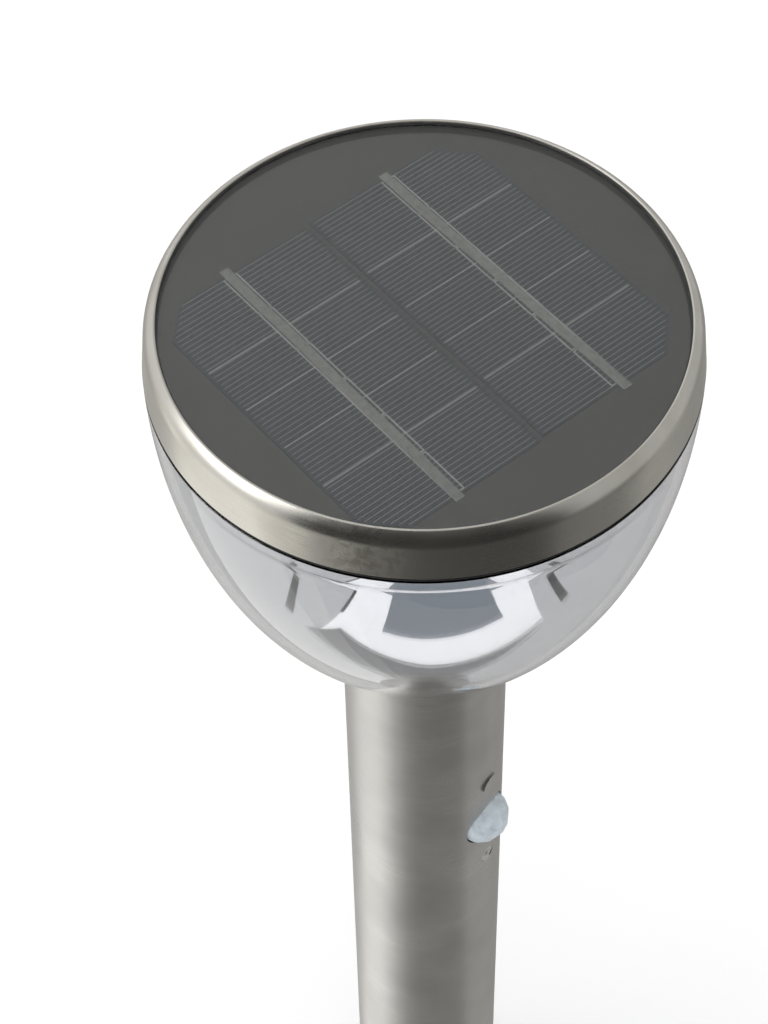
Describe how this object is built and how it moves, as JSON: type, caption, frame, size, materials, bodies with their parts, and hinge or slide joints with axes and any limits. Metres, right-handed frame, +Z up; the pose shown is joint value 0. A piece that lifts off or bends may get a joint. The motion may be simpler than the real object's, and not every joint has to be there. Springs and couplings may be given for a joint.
{
  "type": "solar garden light",
  "caption": "Round solar head that lifts off a half-mirror bowl on a brushed tube post with a motion sensor and a bolt-down foot.",
  "frame": {"origin": "centre of the foot pad's underside, on the ground", "axes": "+Z up along the post; the motion sensor faces -Y; +X is to the right of someone looking at the sensor"},
  "size_m": [0.18, 0.18, 0.6],
  "materials": {
    "brushed_post": "circumferentially satin-brushed stainless tube",
    "rim_steel": "satin stamped stainless ring, light stains",
    "flange_steel": "satin stainless plate and collar",
    "screw_steel": "bright stainless fasteners",
    "clear_bowl": "clear moulded polycarbonate",
    "half_mirror": "vacuum-metallised half-mirror coat on plastic",
    "solar_glass": "flat tempered glass",
    "solar_cell": "blue-grey silicon behind glass",
    "ribbon": "tinned copper ribbon behind glass",
    "backsheet": "dark grey laminate sheet",
    "black_rubber": "black moulded rubber seal",
    "pad_rubber": "dark foot rubber",
    "clear_silicone": "grey silicone gasket",
    "tray_plastic": "black fine-grained moulded plastic",
    "door_plastic": "black fine-grained moulded plastic",
    "inner_plastic": "natural white moulded plastic",
    "dome_plastic": "frosted translucent polythene lens",
    "opal_lens": "opal diffuser plastic",
    "board_green": "green solder-masked circuit board",
    "board_white": "white aluminium-core light board",
    "led_yellow": "white package with yellow phosphor",
    "chip_black": "black component packages",
    "cell_wrap": "shrink-wrapped lithium cells",
    "contact_nickel": "nickel-plated spring contacts",
    "pin_gold": "gold-flashed contact pins",
    "can_steel": "nickel-plated sensor can",
    "cap_metal": "die-cast aluminium",
    "conduit_metal": "bright plated tube",
    "connector_plastic": "black moulded connector",
    "cable_black": "black flexible cable",
    "lead_red": "red insulated wire",
    "knob_plastic": "white moulded knob"
  },
  "bodies": {
    "stand": {"foot_pad": "pad_rubber", "base_flange": "flange_steel", "collar_screws": "screw_steel", "post_tube": "brushed_post", "post_cap": "cap_metal", "bowl_gasket": "clear_silicone", "bowl": "clear_bowl", "bowl_screws": "screw_steel", "mirror_liner": "half_mirror", "cable_tube": "conduit_metal", "post_socket": "connector_plastic", "socket_pins": "pin_gold", "sensor_cable": "cable_black", "sensor_holder": "tray_plastic", "sensor_dome": "dome_plastic", "sensor_board": "board_green", "sensor_can": "can_steel", "sensor_screws": "screw_steel"},
    "head": {"rim_ring": "rim_steel", "cover_glass": "solar_glass", "glass_gasket": "black_rubber", "backsheet": "backsheet", "solar_cell_a": "solar_cell", "solar_cell_b": "solar_cell", "busbar_ribbons": "ribbon", "head_tray": "tray_plastic", "spigot_seal": "black_rubber", "rim_seal": "black_rubber", "led_board": "board_white", "leds": "led_yellow", "led_lens": "opal_lens", "head_cover": "tray_plastic", "door_pin": "screw_steel", "battery_holder": "inner_plastic", "battery_cells": "cell_wrap", "battery_contacts": "contact_nickel", "control_board": "board_green", "board_screws": "screw_steel", "board_parts": "chip_black", "switch_body": "chip_black", "cover_screws": "screw_steel", "head_plug": "connector_plastic", "plug_cable": "cable_black", "battery_lead": "lead_red", "panel_leads": "lead_red"},
    "door": {"battery_door": "door_plastic"},
    "knob": {"switch_knob": "knob_plastic"}
  },
  "joints": [
    {"name": "head_lift", "type": "slide", "parent": "stand", "child": "head", "axis": [0, 0, 1], "range_m": [0, 0.15]},
    {"name": "door_hinge", "type": "hinge", "parent": "head", "child": "door", "pos_m": [0.0615, 0, 0.5634], "axis": [0, -1, 0], "range_deg": [0, 90]},
    {"name": "switch_slide", "type": "slide", "parent": "head", "child": "knob", "axis": [0, 1, 0], "range_m": [0, 0.004]}
  ]
}
